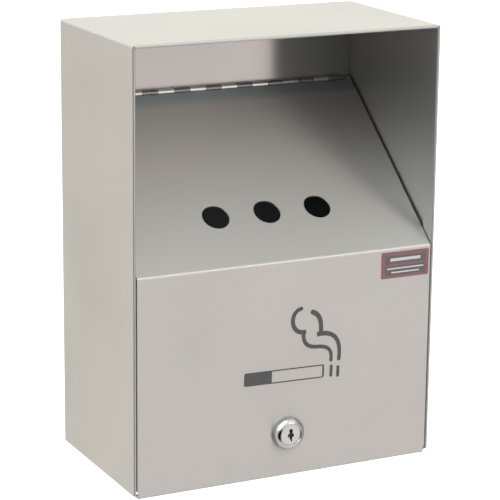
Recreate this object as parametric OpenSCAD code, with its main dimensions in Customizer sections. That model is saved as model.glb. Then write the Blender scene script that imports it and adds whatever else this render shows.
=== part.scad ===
// Wall-mounted ashtray bin in stainless sheet, with a locked, top-hinged door and a lift-out liner.
// Millimetres. +X to the right, +Y into the wall, +Z up. The origin is the centre of the four wall
// holes, on the wall.

/* [Cabinet] */
// Width over the two sides
cabinet_w = 235; // [225:1:260]
// Height of the two sides
cabinet_h = 313.5; // [305:0.5:335]
// Depth from the wall to the front edges
cabinet_d = 129.5; // [128:0.5:140]
// Thickness of the stainless sheet
sheet_t = 1.2; // [1:0.1:1.4]
// Outside radius of the bends
bend_r = 2.5; // [2:0.1:3]
// Width of the hem folded inside the front edges
hem_w = 12; // [9:0.5:14]
// Width of the flanges along the back
back_flange_w = 12; // [10:1:14]
// Height of the floor above the lower edges of the sides
floor_h = 5; // [4:0.5:7]

/* [Wall holes] */
// Distance between the holes, across and up
hole_spacing = 152.4; // [120:0.1:165]
// Radius of each hole
hole_r = 3.3; // [2.5:0.1:4.5]
// Radius of the pressed pad around each hole
pad_r = 12; // [9:0.5:16]
// Height of the pattern's centre above the lower edges of the sides
mount_h = 143; // [135:1:150]

/* [Door] */
// Gap between the door and the hem on each side
door_gap = 0.5; // [0.4:0.1:1]
// How far the door hangs below the sides
door_drop = 3; // [2:0.5:4]
// Height of the fold between the front and the slope
fold_h = 155; // [150:0.5:160]
// Slope's angle from level
slope_angle = 39.4; // [38:0.1:41]
// Depth of the door's folded edges
door_flange = 8; // [5:0.5:9]
// Radius of each butt hole
butt_hole_r = 10; // [7:0.5:12]
// Distance between the butt holes
butt_hole_pitch = 40; // [32:1:48]
// Distance from the fold to the row of butt holes, up the slope
butt_hole_up = 44; // [35:1:70]

/* [Hinge] */
// Distance from the hinge pin to the back panel
hinge_gap = 3; // [2.8:0.1:5]
// Outside radius of the knuckles
knuckle_r = 2.2; // [2:0.1:2.4]
// Radius of the pin
pin_r = 1.2; // [1:0.05:1.3]
// Length of one knuckle, with its gap
knuckle_l = 12.7; // [11:0.1:13]

/* [Lock] */
// Height of the lock above the lower edges of the sides
lock_h = 29.3; // [27:0.1:40]
// How far the lock sits right of the door's middle
lock_x = 1.2; // [-5:0.1:5]
// Outside radius of the lock's bezel
bezel_r = 12; // [11:0.5:13]
// How far the bezel stands out of the door
bezel_h = 6.3; // [5.5:0.1:8]
// Reach of the cam from the lock's axis
cam_reach = 20; // [18:0.5:21]

/* [Liner] */
// Width of the liner's body
liner_w = 222; // [200:1:222]
// Depth of the liner's body
liner_d = 97; // [80:1:97]
// Height of the liner
liner_h = 131.5; // [100:0.5:135]
// Thickness of the liner's sheet
liner_t = 1; // [0.8:0.1:1.2]

/* [Hidden] */
$fn = 64;
bend_steps = 8;
weld_gap = 0.15; // room between two sheets nested inside each other
mitre_gap = 0.4; // half of the slit where two hems meet

// Hinge: the pin's axis lies in the middle of the slope's sheet
back_face = cabinet_d - 2 * sheet_t; // front face of the back panel
hinge_y = back_face - hinge_gap;
axis_depth = sheet_t / 2;
hinge_h = fold_h + hinge_y * tan(slope_angle) - axis_depth / cos(slope_angle);
slope_l = (hinge_y - axis_depth * sin(slope_angle)) / cos(slope_angle);
leaf_t = 1;
leaf_w = 14;
leaf_notch = 0.5; // room between a knuckle and the other leaf's notch
leaf_bend_r = 1.6;
knuckle_count = 17;
knuckle_gap = 0.2;
knuckle_bore_r = pin_r + 0.05;
hinge_l = knuckle_count * knuckle_l;
pin_head_t = 0.8;
pin_head_r = 1.8;

door_w = cabinet_w - 4 * sheet_t - 2 * door_gap;
door_bend_r = 2;
sheet_end = knuckle_r + 0.3; // distance from the pin's axis to the slope's edge along the hinge
ear_end = 0.5; // how far the slope's corners reach past the pin's axis
ear_gap = 1.6; // gap between those corners and the hinge
flange_end = 7; // distance from the pin's axis to the end of the slope's folded edges
fold_point = [0, fold_h];
slope_way = [cos(slope_angle), sin(slope_angle)];
slope_in = [sin(slope_angle), -cos(slope_angle)];
door_foot = [0, -door_drop];
relief_h = 1.2; // height of the small relief hole at each lower corner
relief_r = 1;
fold_slit = 1.2; // slit between the folded edges where they meet at the fold

// Floor: a narrow tongue passes between the hems and carries the door's stop
tongue_w = door_w - 4 * sheet_t;
stop_y = sheet_t + 0.4;
stop_h = 7.5;
tray_flange_h = 11;
tray_corner = 2; // gap between the back flange's ends and the sides
strike_y = 10.9;
strike_h = 12;
strike_w = 44;
strike_foot_y = stop_y + sheet_t + 0.8;

// Lock: heights along its axis are from the door's outer face, outward
barrel_r = 9.3;
barrel_flat = 8.2;
barrel_end = -12.2;
plug_r = 6.5;
plug_fit = 0.05;
face_r = bezel_r - 4.4;
face_h = bezel_h - 1.1;
face_seat = 2.8;
lip_r = 0.8;
bezel_edge = 1; // height of the bezel's upright edge, below its dome
dome_w = bezel_r - face_r - plug_fit - lip_r;
dome_h = bezel_h - bezel_edge;
dome_r = (dome_w * dome_w + dome_h * dome_h) / 2 / dome_w;
thread_pitch = 1.2;
shank = 7; // side of the square that drives the cam
shank_fit = 0.05;
washer_t = 0.8;
washer_teeth = 16;
washer_tooth_gap = 1.2;
washer_tooth_l = 0.8;
nut_t = 3.2;
nut_flats = 22;
washer_r = nut_flats / 2 + 1.4;
stop_t = 1;
cam_t = 2;
cam_w = 11;
cam_hub_r = 8;
cam_gap = 0.1;
cam_top = barrel_end - cam_gap - stop_t;
cam_bottom = cam_top - cam_t;
spring_washer_t = 1;
spring_washer_r = 5.2;
spring_washer_slit = 0.6;
screw_head_h = 2.6;
screw_head_r = 4.2;
screw_head_edge = 1.2;
screw_r = 2.1;
screw_end = barrel_end + 2; // inner end of the screw's hole in the plug
recess_l = 4.4;
recess_w = 0.9;
recess_depth = 1.6;
keyway_end = -9.6;
// Left, bottom, width and height of the keyway's slot, wards and foot
keyway_parts = [[-1.2, 0.5, 2.6, 3.6], [-2.3, -1.8, 4.7, 2.4], [-0.9, -3.6, 2, 2.4], [0.1, -5.2, 1, 2]];
wafer_t = 0.6;
wafer_slot_t = 0.8;
wafer_count = 5;
wafer_pitch = 1.8;
wafer_first = -1.6;
wafer_x = 2.5;
wafer_y = 5.7;
wafer_window = [2.6, 6.4];
wing_x = 4.4;
wing_h = 1.2;
wing_travel = 0.8;
spring_x = 3.5;
spring_r = 0.55;
spring_waist_r = 0.38;
spring_bore_r = 0.22;
spring_l = 3.6;
spring_coils = 6;
spring_slot_t = 1.4;

liner_y = cabinet_d - 6.5 - liner_d;
liner_floor = floor_h + sheet_t + 0.3;
liner_r = 8;
rim_h = 6;
rim_t = 1.8;
handle_w = 12;
handle_t = 1.5;
handle_span = 90;
handle_reach = 13;
handle_h = 90;
handle_foot = 32;
handle_lean = 5; // how far the grip's legs lean in
handle_bend_r = 2;
rivet_x = 38;
rivet_r = 1.6;
rivet_head = [3.4, 1.5]; // radius and height, outside
rivet_tail = [2.9, 1]; // radius and height, inside

// Smoking symbol, from its lower left corner
symbol_t = 0.15;
symbol_x = -33.7;
symbol_h = 66.6;
symbol_r = 1.4;
symbol_tilt = 1.2; // the print sits slightly askew
cigarette_l = 63.2;
cigarette_t = 9.7;
filter_l = 21.7;
outline_t = 0.8;
end_t = 1.3;
ash_t = 2.3;
ash = [[67.8, -0.2, 9.1], [73.3, -0.9, 8.6]]; // each bar's left edge, bottom and length
// Two curls of smoke, each of two strokes that meet in a corner. A stroke is its cubic curves and
// its width at the start and at the end.
smoke = [[
    [[[[68.8, 12.2], [69.8, 21.5], [64.5, 23.2], [57, 23.6]],
        [[57, 23.6], [49.5, 24], [45.8, 27.5], [46.4, 35.6]]], 2.5, 3],
    [[[[48.4, 35.6], [41, 34.6], [37.8, 40], [37.8, 44.6]],
        [[37.8, 44.6], [37.8, 49.5], [41, 52.6], [44.4, 53]]], 3.3, 2.8]], [
    [[[[75.1, 12.4], [76.8, 25], [72.5, 34.6], [57.2, 32.6]]], 2.7, 3.5],
    [[[[60.1, 31.2], [60.6, 40], [60.6, 46.5], [53.6, 49.4]]], 3.1, 3.7]]];
curve_steps = 14;

// Blank label, from its middle
label_t = 0.2;
label_x = 93.8;
label_h = 143.1;
label_w = 38.8;
label_d = 19.2;

// ---- Helpers ----

// Drawn from the front lower edges of the sides, and moved to the wall holes' centre
module placed() translate([0, -cabinet_d, -mount_h]) children();
// An outline in Y and Z, run along X and centred
module along_x(w) rotate([90, 0, 90]) linear_extrude(w, center = true) children();
// An outline in X and Z, run along Y from y0 to y1
module along_y(y0, y1) translate([0, y1, 0]) rotate([90, 0, 0]) linear_extrude(y1 - y0) children();
// The lock's own frame: its axis is local Z, outward from the door's face
module on_lock() placed() translate([lock_x, 0, lock_h]) rotate([90, 0, 0]) children();
// The slope's own frame: local Y runs up the slope and is 0 beside the pin, local Z is outward from
// the outer face
module on_slope() placed() translate([0, hinge_y, hinge_h]) rotate([slope_angle, 0, 0])
    translate([0, 0, axis_depth]) children();

function unit(v) = v / norm(v);
function left_of(v) = [-v[1], v[0]];
function turn_of(u, v) = atan2(u[0] * v[1] - u[1] * v[0], u * v);
function turned(v, a) = [v[0] * cos(a) - v[1] * sin(a), v[0] * sin(a) + v[1] * cos(a)];
function reversed(list) = [for (i = [len(list) - 1:-1:0]) list[i]];

// Points round one bend of a face that lies off to the left of the path
function bend_points(before, corner, after, off, r) =
    let (u = unit(corner - before), v = unit(after - corner), a = turn_of(u, v), s = sign(a))
    let (centre = corner - u * r * tan(abs(a) / 2) + left_of(u) * s * r)
    [for (k = [0:bend_steps]) centre + turned(left_of(u) * -s, a * k / bend_steps) * (r - s * off)];
function face_points(path, off, r) =
    let (n = len(path) - 1)
    concat(
        [path[0] + left_of(unit(path[1] - path[0])) * off],
        [for (i = [1:n - 1]) each bend_points(path[i - 1], path[i], path[i + 1], off, r)],
        [path[n] + left_of(unit(path[n] - path[n - 1])) * off]);
// Section of a bent sheet. The path is its outer face, with bends of radius r, and the sheet lies
// on the path's right, or on its left where t is negative.
module bent_sheet(path, t, r) {
    polygon(concat(face_points(path, 0, r), reversed(face_points(path, -t, r))));
}
// Points along a cubic curve through p[0] and p[3]
function curve(p) = [for (k = [0:curve_steps]) let (t = k / curve_steps, u = 1 - t)
    p[0] * u * u * u + p[1] * 3 * t * u * u + p[2] * 3 * t * t * u + p[3] * t * t * t];
function edge_points(line, w0, w1, side) =
    let (n = len(line) - 1)
    [for (i = [0:n]) let (way = unit(line[min(i + 1, n)] - line[max(i - 1, 0)]))
        line[i] + left_of(way) * side * (w0 + (w1 - w0) * i / n) / 2];
// A brush stroke along a line, of width w0 at its start and w1 at its end
module stroke(line, w0, w1) {
    polygon(concat(edge_points(line, w0, w1, 1), reversed(edge_points(line, w0, w1, -1))));
}
module paper(l, t, r) {
    square([l - r, t]);
    translate([l - 2 * r, r]) square([2 * r, t - 2 * r]);
    for (z = [r, t - r])
        translate([l - r, z]) circle(r);
}
module rounded_square(w, d, r) {
    square([w, d - 2 * r], center = true);
    square([w - 2 * r, d], center = true);
    for (x = [-1, 1], y = [-1, 1])
        translate([x * (w / 2 - r), y * (d / 2 - r)]) circle(r);
}
module ring(r_out, r_in) {
    difference() {
        circle(r_out);
        circle(r_in);
    }
}

// ---- Cabinet ----

// The inverted U of sides and top, in X and Z, inset from the outside
module cabinet_outline(inset, below) {
    w = cabinet_w - 2 * inset;
    h = cabinet_h - inset;
    r = bend_r - inset;
    translate([-w / 2, -below]) square([w, h - r + below]);
    translate([r - w / 2, -below]) square([w - 2 * r, h + below]);
    for (s = [-1, 1])
        translate([s * (w / 2 - r), h - r]) circle(r);
}
// Section of a closed hem whose outside face is on the left axis and whose nose is at the bottom
module hem_section() {
    translate([sheet_t, sheet_t]) circle(sheet_t);
    translate([sheet_t, sheet_t]) square([sheet_t, hem_w - sheet_t]);
}
module side_hem() {
    reach = 3 * hem_w;
    intersection() {
        translate([-cabinet_w / 2, 0, 0]) linear_extrude(cabinet_h) hem_section();
        along_y(0, hem_w) polygon([
            [-cabinet_w / 2, 0],
            [-cabinet_w / 2, cabinet_h - mitre_gap],
            [reach - cabinet_w / 2, cabinet_h - mitre_gap - reach],
            [reach - cabinet_w / 2, 0]]);
    }
}
module top_hem() {
    half = cabinet_w / 2 - mitre_gap;
    intersection() {
        translate([0, 0, cabinet_h]) along_x(cabinet_w) rotate(-90) hem_section();
        along_y(0, hem_w) polygon([
            [-half, cabinet_h],
            [half, cabinet_h],
            [half - hem_w, cabinet_h - hem_w],
            [hem_w - half, cabinet_h - hem_w]]);
    }
}
module back_flanges() {
    side_l = cabinet_h - back_flange_w - mitre_gap;
    for (s = [0, 1]) mirror([s, 0, 0])
        translate([cabinet_w / 2 - back_flange_w, cabinet_d - sheet_t, 0])
            cube([back_flange_w - sheet_t / 2, sheet_t, side_l]);
    translate([sheet_t - cabinet_w / 2, cabinet_d - sheet_t, cabinet_h - back_flange_w])
        cube([cabinet_w - 2 * sheet_t, sheet_t, back_flange_w - sheet_t / 2]);
}
module hood_wrap() color("#c6c2ba") placed() intersection() {
    union() {
        along_y(sheet_t, cabinet_d) difference() {
            cabinet_outline(0, 0);
            cabinet_outline(sheet_t, 1);
        }
        intersection() {
            along_y(0, hem_w) cabinet_outline(0, 0);
            union() {
                side_hem();
                mirror([1, 0, 0]) side_hem();
                top_hem();
            }
        }
        back_flanges();
    }
    // Rounds the bends along the back
    linear_extrude(cabinet_h) translate([0, cabinet_d]) mirror([0, 1]) {
        translate([-cabinet_w / 2, bend_r]) square([cabinet_w, cabinet_d]);
        translate([bend_r - cabinet_w / 2, 0]) square([cabinet_w - 2 * bend_r, cabinet_d]);
        for (s = [-1, 1]) translate([s * (cabinet_w / 2 - bend_r), bend_r]) circle(bend_r);
    }
    along_x(cabinet_w) {
        square([cabinet_d - bend_r, cabinet_h]);
        square([cabinet_d, cabinet_h - bend_r]);
        translate([cabinet_d - bend_r, cabinet_h - bend_r]) circle(bend_r);
    }
}
module at_wall_holes() {
    for (x = [-1, 1], z = [-1, 1])
        translate([x * hole_spacing / 2, 0, mount_h + z * hole_spacing / 2])
            rotate([90, 0, 0]) children();
}
module back_panel() color("#b9b4ad") placed() {
    w = cabinet_w - 2 * (sheet_t + weld_gap);
    difference() {
        union() {
            translate([-w / 2, back_face, 0]) cube([w, sheet_t, cabinet_h - sheet_t - weld_gap]);
            translate([0, cabinet_d, 0]) at_wall_holes() cylinder(h = 1.5 * sheet_t, r = pad_r);
        }
        translate([0, cabinet_d - sheet_t, 0]) at_wall_holes()
            cylinder(h = 4 * sheet_t, r = pad_r - sheet_t);
        translate([0, cabinet_d + 1, 0]) at_wall_holes() cylinder(h = 5 * sheet_t, r = hole_r);
    }
}
module bottom_panel() color("#aaa69f") placed() {
    w = cabinet_w - 2 * (sheet_t + weld_gap);
    back_y = back_face - weld_gap;
    plate_y = hem_w + 0.8;
    union() {
        // Tongue, with the stop turned up along its front
        along_x(tongue_w) bent_sheet([
            [stop_y, floor_h + stop_h],
            [stop_y, floor_h],
            [plate_y + 2, floor_h]], -sheet_t, bend_r);
        // Plate, with a flange turned up along each side and along the back
        translate([-w / 2, plate_y, floor_h]) cube([w, back_y - plate_y, sheet_t]);
        for (s = [0, 1]) mirror([s, 0, 0])
            translate([w / 2 - sheet_t, plate_y, floor_h]) cube([sheet_t, back_y - plate_y, tray_flange_h]);
        translate([tray_corner - w / 2, back_y - sheet_t, floor_h])
            cube([w - 2 * tray_corner, sheet_t, tray_flange_h]);
    }
}
module strike_bracket() color("#9d9a94") placed() {
    top = floor_h + sheet_t;
    along_x(strike_w) bent_sheet([
        [strike_y + sheet_t, top + strike_h],
        [strike_y + sheet_t, top],
        [strike_foot_y, top]], sheet_t, bend_r);
}

// ---- Hinge ----

// Children at each knuckle's left end: parity 0 is the fixed leaf's, parity 1 the door's
module at_knuckles(parity) {
    for (i = [parity:2:knuckle_count - 1])
        translate([i * knuckle_l - hinge_l / 2, 0, 0]) children();
}
// The knuckle's tube along +X, on the pin's axis
module knuckle() {
    translate([knuckle_gap / 2, 0, 0]) rotate([90, 0, 90])
        linear_extrude(knuckle_l - knuckle_gap) ring(knuckle_r, knuckle_bore_r);
}
module hinge_bore() {
    along_x(hinge_l + 2) circle(knuckle_bore_r);
}
module hinge_fixed_leaf() color("#8d8a86") placed() translate([0, hinge_y, hinge_h]) difference() {
    union() {
        // Plate against the back panel, below the door's knuckles
        translate([-hinge_l / 2, hinge_gap - leaf_t, -leaf_w])
            cube([hinge_l, leaf_t, leaf_w - knuckle_r - leaf_notch]);
        // Strip over the top of each of its own knuckles and down to the plate
        at_knuckles(0) translate([knuckle_l / 2, 0, 0]) along_x(knuckle_l - knuckle_gap) bent_sheet([
            [0, knuckle_r],
            [hinge_gap, knuckle_r],
            [hinge_gap, -knuckle_r - 2 * leaf_notch]], leaf_t, leaf_bend_r);
        at_knuckles(0) knuckle();
    }
    hinge_bore();
}
module hinge_pin() color("#b5b2ad") placed() translate([0, hinge_y, hinge_h]) {
    rotate([90, 0, 90]) cylinder(h = hinge_l + knuckle_gap, r = pin_r, center = true);
    // Peened ends
    for (s = [0, 1]) mirror([s, 0, 0])
        translate([hinge_l / 2, 0, 0]) rotate([90, 0, 90])
            cylinder(h = pin_head_t, r1 = pin_head_r, r2 = pin_r);
}
module hinge_moving_leaf() color("#d6d3cd") on_slope() {
    cut_y = knuckle_r + leaf_notch;
    under = -sheet_t - leaf_t;
    difference() {
        union() {
            translate([-hinge_l / 2, -leaf_w, under]) cube([hinge_l, leaf_w - cut_y, leaf_t]);
            at_knuckles(1) translate([knuckle_gap / 2, -cut_y - 0.1, under])
                cube([knuckle_l - knuckle_gap, cut_y + 0.1, leaf_t]);
            translate([0, 0, -axis_depth]) at_knuckles(1) knuckle();
        }
        translate([0, 0, -axis_depth]) hinge_bore();
    }
}

// ---- Door ----

// Double-D outline of the lock's barrel, with room round it
module barrel_outline(room) {
    intersection() {
        circle(barrel_r + room);
        square([2 * (barrel_flat + room), 3 * barrel_r], center = true);
    }
}
// Edge of the door folded inward, in Y and Z, mitred at the fold
module folded_edge() {
    start = relief_h + relief_r - 0.2;
    end = fold_point + slope_way * (slope_l - flange_end);
    bisector = unit(slope_way + [0, -1]);
    difference() {
        polygon([
            [0, start],
            fold_point,
            end,
            end + slope_in * door_flange,
            fold_point + bisector * door_flange / sin(45 + slope_angle / 2),
            [door_flange, start + 3]]);
        translate(fold_point) rotate(atan2(bisector[1], bisector[0]))
            translate([-1, -fold_slit / 2]) square([3 * door_flange, fold_slit]);
    }
}
module door_panel() color("#bfbab3") difference() {
    placed() {
        // Front and slope: one sheet with one fold
        along_x(door_w) bent_sheet([
            [0, door_bend_r - door_drop + 0.2],
            fold_point,
            fold_point + slope_way * (slope_l + ear_end)], sheet_t, door_bend_r);
        // Return along the lower edge
        along_x(door_w - 2) bent_sheet([
            [door_flange, -door_drop],
            door_foot,
            [0, door_bend_r - door_drop + 0.4]], sheet_t, door_bend_r);
        for (s = [0, 1]) mirror([s, 0, 0])
            translate([(door_w - sheet_t) / 2, 0, 0]) along_x(sheet_t) folded_edge();
    }
    // Room for the hinge, between two ears
    on_slope() translate([-hinge_l / 2 - ear_gap, -sheet_end, -2 * sheet_t])
        cube([hinge_l + 2 * ear_gap, 2 * sheet_end, 3 * sheet_t]);
    on_slope() translate([0, butt_hole_up - slope_l, 0])
        for (i = [-1:1]) translate([i * butt_hole_pitch, 0, -3 * sheet_t])
            cylinder(h = 5 * sheet_t, r = butt_hole_r);
    on_lock() linear_extrude(4 * sheet_t, center = true) barrel_outline(0.1);
    placed() for (s = [-1, 1])
        translate([s * door_w / 2, 0, relief_h]) rotate([90, 0, 0])
            cylinder(h = 2.5 * sheet_t, r = relief_r, center = true);
}
module cigarette() {
    body_l = cigarette_l - filter_l + symbol_r;
    // Filter, with its outer corners rounded
    translate([symbol_r, 0]) square([filter_l - symbol_r, cigarette_t]);
    translate([0, symbol_r]) square([symbol_r, cigarette_t - 2 * symbol_r]);
    for (z = [symbol_r, cigarette_t - symbol_r])
        translate([symbol_r, z]) circle(symbol_r);
    // Paper, in outline
    difference() {
        translate([filter_l - symbol_r, 0]) paper(body_l, cigarette_t, symbol_r);
        translate([filter_l - symbol_r, outline_t])
            paper(body_l - end_t, cigarette_t - 2 * outline_t, symbol_r / 2);
    }
    for (bar = ash) translate([bar[0], bar[1]]) {
        translate([0, ash_t / 2]) square([ash_t, bar[2] - ash_t]);
        for (z = [ash_t / 2, bar[2] - ash_t / 2])
            translate([ash_t / 2, z]) circle(ash_t / 2);
    }
}
module smoking_symbol() color("#5a5652") placed() translate([symbol_x, 0, symbol_h])
    rotate([90, 0, 0]) linear_extrude(symbol_t) {
        translate([cigarette_l, 0]) rotate(-symbol_tilt) translate([-cigarette_l, 0]) cigarette();
        for (curl = smoke) {
            for (s = curl) stroke([for (c = s[0]) each curve(c)], s[1], s[2]);
            // The curl's loose ends are round
            translate(curl[0][0][0][0]) circle(curl[0][1] / 2);
            translate(curl[1][0][len(curl[1][0]) - 1][3]) circle(curl[1][2] / 2);
        }
    }
module blank_label() color("#5b3a40") placed() translate([label_x, 0, label_h])
    rotate([90, 0, 0]) linear_extrude(label_t) rounded_square(label_w, label_d, 0.8);

// ---- Lock ----

// Section of the barrel's thread, as even grooves from the nut to the inner end
function thread_points(r, z0, z1, pitch, depth) =
    let (n = floor((z0 - z1) / pitch))
    [for (k = [0:n - 1]) each [[r, z0 - k * pitch], [r - depth, z0 - (k + 0.5) * pitch]]];
function arc_points(centre, r, a0, a1, n) =
    [for (k = [0:n]) centre + r * [cos(a0 + (a1 - a0) * k / n), sin(a0 + (a1 - a0) * k / n)]];
module lock_housing() color("#d8d6d2") on_lock() {
    bore = plug_r + plug_fit;
    seat = face_r + plug_fit;
    intersection() {
        rotate_extrude() polygon(concat(
            [[bore, barrel_end], [barrel_r - 0.5, barrel_end]],
            reversed(thread_points(barrel_r, -sheet_t - washer_t, barrel_end + 0.6, thread_pitch, 0.5)),
            [[barrel_r, 0.1], [bore, 0.1]]));
        translate([-barrel_flat, -barrel_r, barrel_end - 1])
            cube([2 * barrel_flat, 2 * barrel_r, 2 - barrel_end]);
    }
    // Bezel: a domed ring round the plug's face
    rotate_extrude() polygon(concat(
        [[bore, 0], [bezel_r, 0]],
        arc_points([bezel_r - dome_r, bezel_edge], dome_r, 0, asin(dome_h / dome_r), 10),
        arc_points([seat + lip_r, bezel_h - lip_r], lip_r, 85, 180, 5),
        [[seat, face_seat], [bore, face_seat]]));
}
module lock_nut_washer() color("#b9b7b2") on_lock()
    translate([0, 0, -sheet_t - washer_t]) linear_extrude(washer_t) difference() {
        circle(washer_r);
        circle(barrel_r + 0.1);
        for (k = [1:washer_teeth]) rotate(k * 360 / washer_teeth)
            translate([washer_r - washer_tooth_l, -washer_tooth_gap / 2]) square([2, washer_tooth_gap]);
    }
module lock_nut() color("#c9c7c3") on_lock()
    translate([0, 0, -sheet_t - washer_t - nut_t]) linear_extrude(nut_t) difference() {
        rotate(30) circle(nut_flats / 2 / cos(30), $fn = 6);
        circle(barrel_r + 0.05);
    }
module keyway() {
    for (p = keyway_parts) translate([p[0], p[1]]) square([p[2], p[3]]);
}
module shank_outline(room) {
    square(shank + 2 * room, center = true);
}
function wafer_z(i) = wafer_first - i * wafer_pitch;
module lock_plug() color("#cfccc8") on_lock() difference() {
    union() {
        // Face
        translate([0, 0, face_seat + 0.1]) cylinder(h = face_h - face_seat - 0.1, r = face_r);
        translate([0, 0, barrel_end]) cylinder(h = face_seat + 0.2 - barrel_end, r = plug_r);
        // Square that drives the cam
        translate([0, 0, cam_bottom + 0.2]) linear_extrude(barrel_end - cam_bottom) shank_outline(0);
    }
    translate([0, 0, keyway_end]) linear_extrude(face_h - keyway_end + 1) keyway();
    translate([0, 0, cam_bottom]) cylinder(h = screw_end - cam_bottom, r = screw_r);
    for (i = [0:wafer_count - 1]) translate([0, 0, wafer_z(i)]) {
        linear_extrude(wafer_slot_t, center = true) {
            square([2 * wafer_x + 0.2, 3 * plug_r], center = true);
            square([wing_x + 0.1, wing_h + wing_travel]);
        }
        // Chamber for the spring, below the wafer's wing
        translate([0, -spring_l]) linear_extrude(spring_slot_t, center = true)
            square([wing_x + 0.1, spring_l]);
    }
}
module lock_wafers() color("#b08d4a") on_lock()
    for (i = [0:wafer_count - 1])
        translate([0, 0, wafer_z(i) - wafer_t / 2]) linear_extrude(wafer_t) difference() {
            union() {
                square([2 * wafer_x, 2 * wafer_y], center = true);
                square([wing_x, wing_h]);
            }
            square(wafer_window, center = true);
        }
module wafer_springs() color("#8f8f8f") on_lock()
    for (i = [0:wafer_count - 1])
        translate([spring_x, -spring_l, wafer_z(i)]) rotate([-90, 0, 0])
            rotate_extrude($fn = 24) polygon(concat(
                [[spring_bore_r, 0]],
                [for (k = [0:spring_coils - 1]) each [
                    [spring_r, k * spring_l / spring_coils],
                    [spring_waist_r, (k + 0.5) * spring_l / spring_coils]]],
                [[spring_r, spring_l], [spring_bore_r, spring_l]]));
module cam_stop_washer() color("#a9a7a3") on_lock()
    translate([0, 0, cam_top]) linear_extrude(stop_t) difference() {
        union() {
            circle(plug_r + 0.5);
            intersection() {
                circle(barrel_r);
                rotate(45) square(barrel_r);
            }
        }
        shank_outline(shank_fit);
    }
module lock_cam() color("#b4b2ae") on_lock()
    translate([0, 0, cam_bottom]) linear_extrude(cam_t) difference() {
        union() {
            circle(cam_hub_r);
            translate([0, -cam_w / 2]) square([cam_reach - cam_w / 2, cam_w]);
            translate([cam_reach - cam_w / 2, 0]) circle(cam_w / 2);
        }
        shank_outline(shank_fit);
    }
module cam_spring_washer() color("#9b9995") on_lock()
    translate([0, 0, cam_bottom - spring_washer_t]) linear_extrude(spring_washer_t) difference() {
        ring(spring_washer_r, screw_r + 0.2);
        rotate(20) translate([0, -spring_washer_slit / 2])
            square([2 * spring_washer_r, spring_washer_slit]);
    }
module cam_screw() color("#c2c0bc") on_lock() difference() {
    head_z = cam_bottom - spring_washer_t;
    round_r = screw_head_h - screw_head_edge;
    union() {
        translate([0, 0, head_z - 0.1])
            cylinder(h = screw_end - head_z - 0.4, r = screw_r - 0.05);
        translate([0, 0, head_z]) mirror([0, 0, 1]) rotate_extrude() polygon(concat(
            [[0, 0], [screw_head_r, 0]],
            arc_points([screw_head_r - round_r, screw_head_edge], round_r, 0, 90, 6),
            [[0, screw_head_h]]));
    }
    // Cross recess
    for (a = [0, 90]) rotate(a)
        translate([-recess_l / 2, -recess_w / 2, head_z - screw_head_h - 1])
            cube([recess_l, recess_w, recess_depth + 1]);
}

// ---- Liner ----

module liner_outline(grow) {
    translate([0, liner_d / 2])
        rounded_square(liner_w + 2 * grow, liner_d + 2 * grow, liner_r + grow);
}
module at_rivets() {
    for (s = [-1, 1])
        translate([s * rivet_x, 0, handle_h + handle_w / 2]) rotate([90, 0, 0]) children();
}
module liner_bin() color("#a4a8ab") placed() translate([0, liner_y, liner_floor]) difference() {
    union() {
        linear_extrude(liner_h) liner_outline(0);
        // Upper edge folded over outward
        translate([0, 0, liner_h - rim_h]) linear_extrude(rim_h) liner_outline(rim_t);
    }
    translate([0, 0, liner_t]) linear_extrude(liner_h) liner_outline(-liner_t);
    at_rivets() cylinder(h = 4 * liner_t, r = rivet_r, center = true);
}
module liner_handle() color("#8f9396") placed() translate([0, liner_y, liner_floor]) difference() {
    translate([0, 0, handle_h]) linear_extrude(handle_w) bent_sheet([
        [-handle_span / 2, -handle_t],
        [-handle_foot, -handle_t],
        [-handle_foot + handle_lean, -handle_reach],
        [handle_foot - handle_lean, -handle_reach],
        [handle_foot, -handle_t],
        [handle_span / 2, -handle_t]], -handle_t, handle_bend_r);
    at_rivets() cylinder(h = 4 * handle_t, r = rivet_r, center = true);
}
module liner_rivets() color("#7d8083") placed() translate([0, liner_y, liner_floor]) at_rivets() {
    translate([0, 0, -liner_t]) cylinder(h = liner_t + handle_t, r = rivet_r - 0.05);
    translate([0, 0, handle_t]) dome(rivet_head[0], rivet_head[1]);
    translate([0, 0, -liner_t]) mirror([0, 0, 1]) dome(rivet_tail[0], rivet_tail[1]);
}
// Low dome on the plane z = 0
module dome(r, h) {
    ball = (r * r + h * h) / 2 / h;
    intersection() {
        translate([0, 0, h - ball]) sphere(ball);
        cylinder(h = 2 * h, r = r);
    }
}

hood_wrap();
back_panel();
bottom_panel();
strike_bracket();
hinge_fixed_leaf();
hinge_pin();
door_panel();
hinge_moving_leaf();
smoking_symbol();
blank_label();
lock_housing();
lock_nut_washer();
lock_nut();
lock_plug();
lock_wafers();
wafer_springs();
cam_stop_washer();
lock_cam();
cam_spring_washer();
cam_screw();
liner_bin();
liner_handle();
liner_rivets();
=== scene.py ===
"""Looks of the wall-mounted ashtray bin: camera, studio and procedural materials round the CAD frame.

Lengths are in metres in the frame, and in millimetres inside the materials' patterns.
"""

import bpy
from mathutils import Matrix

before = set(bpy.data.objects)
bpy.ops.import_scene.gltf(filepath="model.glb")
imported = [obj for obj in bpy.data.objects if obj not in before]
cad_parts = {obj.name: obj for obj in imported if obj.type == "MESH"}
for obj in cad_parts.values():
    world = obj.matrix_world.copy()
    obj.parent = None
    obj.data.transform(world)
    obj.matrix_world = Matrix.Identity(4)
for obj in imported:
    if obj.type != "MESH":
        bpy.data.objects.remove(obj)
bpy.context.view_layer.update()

import math

import bmesh
import bpy
from mathutils import Matrix, Vector

MM = 0.001

# ---- Camera: three quarters from the front left, a little above ----

VIEW_AZIMUTH = -26.6
VIEW_ELEVATION = 14.7
VIEW_ROLL = 0.63
CAMERA_PLACE = (-0.6728, -1.4129, 0.4000)
LENS_MM = 155.6


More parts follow.
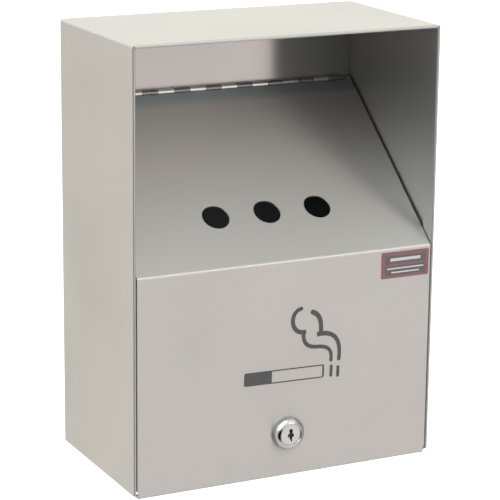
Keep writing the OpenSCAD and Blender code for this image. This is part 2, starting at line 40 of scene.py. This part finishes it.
def add_camera():
    data = bpy.data.cameras.new("camera")
    data.sensor_width = 36.0
    data.lens = LENS_MM
    camera = bpy.data.objects.new("camera", data)
    bpy.context.scene.collection.objects.link(camera)
    turn = Matrix.Rotation(math.radians(VIEW_AZIMUTH), 4, "Z")
    tilt = Matrix.Rotation(math.radians(90.0 - VIEW_ELEVATION), 4, "X")
    roll = Matrix.Rotation(math.radians(VIEW_ROLL), 4, "Z")
    camera.matrix_world = Matrix.Translation(CAMERA_PLACE) @ turn @ tilt @ roll
    bpy.context.scene.camera = camera


# ---- Shader nodes in short ----


class Nodes:
    """Adds and joins the nodes of one material or of the world."""

    def __init__(self, owner):
        owner.use_nodes = True
        self.owner = owner
        self.tree = owner.node_tree

    def add(self, kind, inputs=(), **settings):
        node = self.tree.nodes.new("ShaderNode" + kind)
        for name, value in settings.items():
            setattr(node, name, value)
        for socket, value in dict(inputs).items():
            self.feed(node.inputs[socket], value)
        return node

    def feed(self, socket, value):
        if isinstance(value, bpy.types.NodeSocket):
            self.tree.links.new(value, socket)
        else:
            socket.default_value = value

    def math(self, operation, a, b=0.0, c=0.0):
        return self.add("Math", {0: a, 1: b, 2: c}, operation=operation).outputs[0]

    def spread(self, value, low, high, to_low=0.0, to_high=1.0, smooth=False):
        """The value's run from low to high, moved to the run from to_low to to_high."""
        kind = "SMOOTHSTEP" if smooth else "LINEAR"
        inputs = {"Value": value, "From Min": low, "From Max": high, "To Min": to_low, "To Max": to_high}
        return self.add("MapRange", inputs, interpolation_type=kind).outputs[0]

    def mix(self, amount, a, b, blend="MIX"):
        node = self.add("Mix", data_type="RGBA", blend_type=blend)
        self.feed(node.inputs["Factor"], amount)
        self.feed(node.inputs[6], a)
        self.feed(node.inputs[7], b)
        return node.outputs[2]

    def place(self, scale):
        """The point on the part in millimetres, times a scale along each axis."""
        where = self.add("TexCoord").outputs["Object"]
        factor = tuple(k / MM for k in scale)
        return self.add("VectorMath", {0: where, 1: factor}, operation="MULTIPLY").outputs[0]

    def axes(self):
        """The point on the part in millimetres, as outputs named X, Y and Z."""
        return self.add("SeparateXYZ", {0: self.place((1.0, 1.0, 1.0))}).outputs

    def noise(self, scale, detail=2.0, roughness=0.5, offset=0.0):
        """Noise from 0 to 1 with this many features to the millimetre along each axis."""
        where = self.place(scale)
        if offset:
            where = self.add("VectorMath", {0: where, 1: (offset,) * 3}, operation="ADD").outputs[0]
        inputs = {"Vector": where, "Scale": 1.0, "Detail": detail, "Roughness": roughness}
        return self.add("TexNoise", inputs).outputs["Fac"]


def colour(r, g, b):
    return (r, g, b, 1.0)


def scaled(tint, k):
    return colour(*(min(1.0, c * k) for c in tint[:3]))


# ---- Materials ----


class Finish(Nodes):
    """One material round its Principled shader."""

    def __init__(self, name):
        super().__init__(bpy.data.materials.new(name))
        self.shader = self.tree.nodes["Principled BSDF"]

    def set(self, **inputs):
        for name, value in inputs.items():
            self.feed(self.shader.inputs[name.replace("_", " ")], value)

    def bump(self, height, depth_mm, strength=1.0, edge_mm=0.0):
        """Relief from a height, over edges that are rounded by so many millimetres."""
        inputs = {"Height": height, "Distance": depth_mm * MM, "Strength": strength}
        if edge_mm:
            inputs["Normal"] = self.add("Bevel", {"Radius": edge_mm * MM}, samples=4).outputs[0]
        self.set(Normal=self.add("Bump", inputs).outputs["Normal"])

    def grain_tangent(self, grain):
        """Stretches reflections across the grain, whichever way the surface faces."""
        normal = self.add("NewGeometry").outputs["Normal"]
        across = self.add("VectorMath", {0: normal, 1: grain}, operation="CROSS_PRODUCT").outputs[0]
        self.set(Tangent=self.add("VectorMath", {0: across}, operation="NORMALIZE").outputs[0])


STEEL = colour(0.565, 0.556, 0.540)
STEEL_METAL = 0.94
STEEL_ROUGHNESS = 0.30
STEEL_ANISOTROPY = 0.98
# Radius that the sheets' edges look rounded by, in millimetres
EDGE_MM = 0.55
ALONG_X = (1.0, 0.03, 0.03)
# The hood is bent from one strip brushed along its length: up its sides and across its top
ALONG_WRAP = (1.0, 0.03, 1.0)

# The hinge leaf's edge raises a faint line on the slope, painted lighter along it as a painted highlight
LEAF_LINE = ("Y", -17.6, 0.6)
# Painted shade: a dull blue darkening painted on the slope below the hinge, from nothing to full between
# two depths
PAINTED_SHADE_TINT = colour(0.69, 0.80, 0.84)
PAINTED_SHADE_REACH = (-19.0, -11.0)
# Handling polishes the door's fold
DOOR_FOLD = ("Z", 11.9, 1.4)
# Painted light: a pale, cool, matte film is painted on the back panel's front face, up to the hinge, to
# lighten it: its depth, height and fade
PAINTED_LIGHT_LIMIT = (-1.8, 106.0)
PAINTED_LIGHT_FADE = 3.0
PAINTED_LIGHT_DARK = colour(0.64, 0.69, 0.71)
PAINTED_LIGHT_PALE = colour(0.76, 0.81, 0.83)

# The label's bars: height, half height and half width in millimetres, and colour
LABEL_MIDDLE = 94.0
LABEL_DARK = colour(0.080, 0.074, 0.076)
LABEL_PALE = colour(0.50, 0.52, 0.52)
LABEL_BARS = [
    (3.9, 3.0, 16.8, LABEL_DARK), (-4.0, 3.6, 16.8, LABEL_DARK),
    (4.0, 1.2, 12.5, LABEL_PALE), (-2.5, 0.6, 15.0, LABEL_PALE), (-5.4, 0.6, 11.5, LABEL_PALE),
]


def stretched(grain, along, across):
    """A noise scale of one value along the grain's axis and another across it."""
    return tuple(along if k > 0.5 else across for k in grain)


def band(f, axis, at, width):
    """1 where the part is at this many millimetres along an axis, down to 0 a width away."""
    off = f.math("ABSOLUTE", f.math("SUBTRACT", f.axes()[axis], at))
    return f.spread(off, width, 0.5 * width)


def add_painted_light(f, base, rough, cloud, limit):
    """Paints light as a pale matte film on a sheet's face in front of a depth and below a height, in
    millimetres.
    """
    depth, height = limit
    where = f.axes()
    lit_film = f.spread(where["Z"], height, height - PAINTED_LIGHT_FADE)
    lit_film = f.math("MULTIPLY", lit_film, f.math("LESS_THAN", where["Y"], depth))
    base = f.mix(f.math("MULTIPLY", lit_film, 0.9), base, f.mix(cloud, PAINTED_LIGHT_DARK, PAINTED_LIGHT_PALE))
    rough = f.math("MAXIMUM", rough, f.math("MULTIPLY", lit_film, 0.75))
    metal = f.spread(lit_film, 0.0, 1.0, STEEL_METAL, 0.0)
    return base, rough, metal


def brushed_steel(name, grain, roughness=STEEL_ROUGHNESS, line=None, painted_shade_reach=None, polish=None,
                  painted_light_limit=None):
    """Brushed sheet. A faint line painted lighter as a highlight, or a bend polished by handling, is given
    as (axis, mm, width).
    """
    f = Finish(name)
    fine = f.noise(stretched(grain, 0.015, 5.0), detail=2.0)
    coarse = f.noise(stretched(grain, 0.004, 0.9), detail=3.0, offset=7.0)
    cloud = f.noise((0.013, 0.013, 0.013), detail=2.0, offset=3.0)
    streak = f.math("ADD", f.math("MULTIPLY", fine, 0.6), f.math("MULTIPLY", coarse, 0.4))
    base = f.mix(f.spread(streak, 0.3, 0.7), scaled(STEEL, 0.975), scaled(STEEL, 1.025))
    base = f.mix(f.spread(cloud, 0.3, 0.7), base, scaled(STEEL, 0.98))
    rough = f.math("ADD", f.spread(streak, 0.3, 0.7, roughness - 0.02, roughness + 0.02),
                   f.spread(cloud, 0.3, 0.7, -0.015, 0.02))
    metal = STEEL_METAL
    # Painted highlight: a faint lighter line where the leaf's edge is raised
    if line:
        line_highlight = f.math("MULTIPLY", band(f, *line), f.spread(coarse, 0.35, 0.6))
        base = f.mix(f.math("MULTIPLY", line_highlight, 0.25), base, colour(0.9, 0.9, 0.88))
    # Painted shade: a cool darkening along the slope below the hinge
    if painted_shade_reach:
        hinge_shade = f.spread(f.axes()["Y"], *painted_shade_reach, smooth=True)
        base = f.mix(hinge_shade, base, PAINTED_SHADE_TINT, blend="MULTIPLY")
    if polish:
        rough = f.math("MULTIPLY", rough, f.spread(band(f, *polish), 0.0, 1.0, 1.0, 0.4))
    # Painted light: a pale matte film that lightens the panel's face below the hinge
    if painted_light_limit:
        base, rough, metal = add_painted_light(f, base, rough, cloud, painted_light_limit)
    f.set(Base_Color=base, Metallic=metal, Roughness=rough, Anisotropic=STEEL_ANISOTROPY)
    f.grain_tangent(grain)
    f.bump(fine, 0.004, 0.06, edge_mm=EDGE_MM)
    return f.owner


def rolled_steel(name, tint, roughness):
    f = Finish(name)
    cloud = f.noise((0.12, 0.12, 0.12), detail=3.0)
    lines = f.noise((0.05, 2.0, 2.0), detail=2.0, offset=5.0)
    base = f.mix(f.spread(cloud, 0.3, 0.7), scaled(tint, 0.88), scaled(tint, 1.06))
    rough = f.spread(cloud, 0.3, 0.7, roughness - 0.05, roughness + 0.06)
    f.set(Base_Color=base, Metallic=1.0, Roughness=rough)
    f.bump(lines, 0.02, 0.2)
    return f.owner


def printed_ink(name):
    f = Finish(name)
    blot = f.noise((0.5, 0.5, 0.5), detail=4.0)
    grain = f.noise((0.05, 3.0, 3.0), detail=2.0, offset=2.0)
    base = f.mix(f.spread(blot, 0.35, 0.65), colour(0.056, 0.055, 0.058), colour(0.072, 0.069, 0.071))
    f.set(Base_Color=base, Roughness=f.spread(blot, 0.3, 0.7, 0.42, 0.58))
    f.shader.inputs["Specular IOR Level"].default_value = 0.35
    f.bump(f.math("ADD", grain, f.math("MULTIPLY", blot, 0.5)), 0.02, 0.3)
    return f.owner


def label_vinyl(name):
    """Plain bars on a maroon ground, where a printed label would have its words."""
    f = Finish(name)
    blot = f.noise((0.35, 0.35, 0.35), detail=3.0)
    base = f.mix(f.spread(blot, 0.3, 0.7), colour(0.165, 0.072, 0.084), colour(0.20, 0.090, 0.103))
    where = f.axes()
    for up, half_height, half_width, tint in LABEL_BARS:
        inside = 1.0
        for axis, middle, half in (("X", LABEL_MIDDLE, half_width), ("Z", up, half_height)):
            off = f.math("ABSOLUTE", f.math("SUBTRACT", where[axis], middle))
            inside = f.math("MULTIPLY", inside, f.spread(off, half, half - 0.2))
        base = f.mix(f.math("MULTIPLY", inside, 0.85), base, tint)
    f.set(Base_Color=base, Roughness=f.spread(blot, 0.3, 0.7, 0.28, 0.4))
    f.bump(blot, 0.03, 0.3)
    return f.owner


def chrome(name):
    f = Finish(name)
    haze = f.noise((0.25, 0.25, 0.25), detail=3.0)
    pits = f.noise((2.5, 2.5, 2.5), detail=2.0, offset=4.0)
    base = f.mix(f.spread(haze, 0.3, 0.7), colour(0.56, 0.55, 0.53), colour(0.64, 0.63, 0.61))
    f.set(Base_Color=base, Metallic=1.0, Roughness=f.spread(haze, 0.3, 0.7, 0.13, 0.19))
    f.bump(pits, 0.01, 0.15)
    return f.owner


def satin_zinc(name, tint, roughness):
    f = Finish(name)
    cloud = f.noise((0.3, 0.3, 0.3), detail=4.0)
    pits = f.noise((3.0, 3.0, 3.0), detail=2.0, offset=9.0)
    base = f.mix(f.spread(cloud, 0.3, 0.7), scaled(tint, 0.9), scaled(tint, 1.05))
    rough = f.spread(cloud, 0.3, 0.7, roughness - 0.06, roughness + 0.08)
    f.set(Base_Color=base, Metallic=1.0, Roughness=rough)
    f.bump(pits, 0.02, 0.3)
    return f.owner


def galvanised(name):
    """Zinc spangle: crystals some millimetres wide, each with its own shade and gloss."""
    f = Finish(name)
    warp = f.noise((0.08, 0.08, 0.08), detail=2.0)
    where = f.place((0.13, 0.13, 0.13))
    where = f.add("VectorMath", {0: where, 1: warp}, operation="ADD").outputs[0]
    cell = f.add("TexVoronoi", {"Vector": where, "Scale": 1.0}).outputs["Color"]
    shade = f.add("SeparateColor", {0: cell})
    frost = f.noise((0.9, 0.9, 0.9), detail=3.0)
    base = f.mix(shade.outputs[0], colour(0.55, 0.57, 0.59), colour(0.64, 0.66, 0.68))
    base = f.mix(f.math("MULTIPLY", frost, 0.3), base, colour(0.68, 0.69, 0.70))
    f.set(Base_Color=base, Metallic=0.5, Roughness=f.spread(shade.outputs[1], 0.0, 1.0, 0.38, 0.48))
    f.bump(frost, 0.01, 0.2)
    return f.owner


def dress_nodes():
    """Each CAD node takes the finish of its slot in the record."""
    hood = brushed_steel("hood_steel", ALONG_WRAP)
    back = brushed_steel("back_steel", ALONG_X, roughness=0.22, painted_light_limit=PAINTED_LIGHT_LIMIT)
    flat = brushed_steel("panel_steel", ALONG_X)
    door = brushed_steel("door_steel", ALONG_X, roughness=0.40, line=LEAF_LINE,
                         painted_shade_reach=PAINTED_SHADE_REACH, polish=DOOR_FOLD)
    # Painted light and shade: the fixed leaf and pin take a dark copy of the hinge steel and the moving
    # leaf a pale copy, for the shaded and lit knuckles
    leaf = rolled_steel("hinge_steel", colour(0.30, 0.30, 0.30), 0.3)
    painted_lit = rolled_steel("hinge_steel_bright", colour(0.80, 0.79, 0.77), 0.2)
    zinc = satin_zinc("zinc_plate", colour(0.62, 0.62, 0.58), 0.32)
    finishes = {
        "hood_wrap": hood, "back_panel": back, "bottom_panel": flat, "strike_bracket": flat,
        "door_panel": door, "hinge_fixed_leaf": leaf, "hinge_pin": leaf,
        "hinge_moving_leaf": painted_lit, "smoking_symbol": printed_ink("printed_ink"),
        "blank_label": label_vinyl("label_vinyl"), "lock_housing": chrome("lock_chrome"),
        "lock_plug": satin_zinc("lock_face", colour(0.68, 0.68, 0.69), 0.3),
        "lock_wafers": satin_zinc("wafer_brass", colour(0.66, 0.50, 0.24), 0.3),
        "liner_bin": galvanised("galvanised_sheet"),
        "liner_rivets": satin_zinc("rivet_aluminium", colour(0.60, 0.61, 0.62), 0.4),
    }
    for name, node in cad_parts.items():
        material = finishes.get(name, zinc)
        for slot in node.material_slots:
            slot.material = material


# ---- Studio ----

# Soft patches of the room's light: azimuth from the front, elevation, full and faded angles, radiance
PATCHES = [
    ("front", 27.0, -3.0, 12.0, 40.0, colour(1.04, 0.945, 0.935)),
    ("back_high", 154.0, 30.0, 25.0, 60.0, colour(1.39, 1.35, 1.24)),
    ("overhead", 30.0, 68.0, 18.0, 50.0, colour(1.06, 1.14, 1.12)),
    ("overhead_left", -80.0, 55.0, 12.0, 50.0, colour(2.30, 2.45, 2.55)),
    ("back_left", -153.0, -15.0, 25.0, 50.0, colour(1.12, 1.06, 0.98)),
    ("front_high", 32.0, 33.0, 8.0, 18.0, colour(1.85, 1.78, 1.60)),
    ("left_high", -58.0, 33.0, 8.0, 15.0, colour(3.60, 3.60, 3.50)),
    ("right_low", 90.0, -5.0, 20.0, 50.0, colour(0.45, 0.45, 0.45)),
    ("behind_camera", -33.0, -13.0, 21.0, 36.0, colour(0.0, 0.0, 0.0)),
]
ROOM = colour(0.82, 0.85, 0.82)
FLOOR_REACH = 20.0
FLOOR_HEIGHT = -1.15
FLOOR_GLOW = 0.25
SURROUND_REACH = 0.9 * FLOOR_REACH
SURROUND_GLOW = 1.05


def direction(azimuth, elevation):
    a = math.radians(azimuth)
    e = math.radians(elevation)
    return (math.sin(a) * math.cos(e), -math.cos(a) * math.cos(e), math.sin(e))


def add_world():
    world = bpy.data.worlds.new("studio")
    bpy.context.scene.world = world
    w = Nodes(world)
    ray = w.add("TexCoord").outputs["Generated"]
    ray = w.add("VectorMath", {0: ray}, operation="NORMALIZE").outputs[0]
    light = ROOM
    for name, azimuth, elevation, full, faded, radiance in PATCHES:
        dot = w.add("VectorMath", {0: ray, 1: direction(azimuth, elevation)}, operation="DOT_PRODUCT")
        dot.label = name
        edge, core = math.cos(math.radians(faded)), math.cos(math.radians(full))
        light = w.mix(w.spread(dot.outputs["Value"], edge, core, smooth=True), light, radiance)
    w.feed(w.tree.nodes["Background"].inputs["Color"], light)


def stage_piece(name, bm, paint):
    mesh = bpy.data.meshes.new(name)
    bm.to_mesh(mesh)
    bm.free()
    piece = bpy.data.objects.new(name, mesh)
    bpy.context.scene.collection.objects.link(piece)
    mesh.materials.append(paint)
    piece.visible_glossy = False
    return piece


def add_floor():
    """A wide pale floor, and a pale surround that only the camera sees."""
    f = Finish("floor_paint")
    f.set(Base_Color=colour(0.93, 0.93, 0.93), Roughness=0.9)
    f.set(Emission_Color=colour(1.0, 1.0, 1.0), Emission_Strength=FLOOR_GLOW)
    bm = bmesh.new()
    bmesh.ops.create_grid(bm, x_segments=1, y_segments=1, size=FLOOR_REACH)
    stage_piece("floor", bm, f.owner).location.z = FLOOR_HEIGHT
    f = Finish("surround_paint")
    f.set(Base_Color=colour(0.0, 0.0, 0.0), Roughness=1.0)
    f.set(Emission_Color=colour(1.0, 1.0, 1.0), Emission_Strength=SURROUND_GLOW)
    bm = bmesh.new()
    bmesh.ops.create_icosphere(bm, subdivisions=4, radius=SURROUND_REACH)
    surround = stage_piece("surround", bm, f.owner)
    surround.visible_diffuse = False
    surround.visible_shadow = False


add_camera()
add_world()
add_floor()
dress_nodes()
bpy.context.scene.view_settings.view_transform = "Standard"
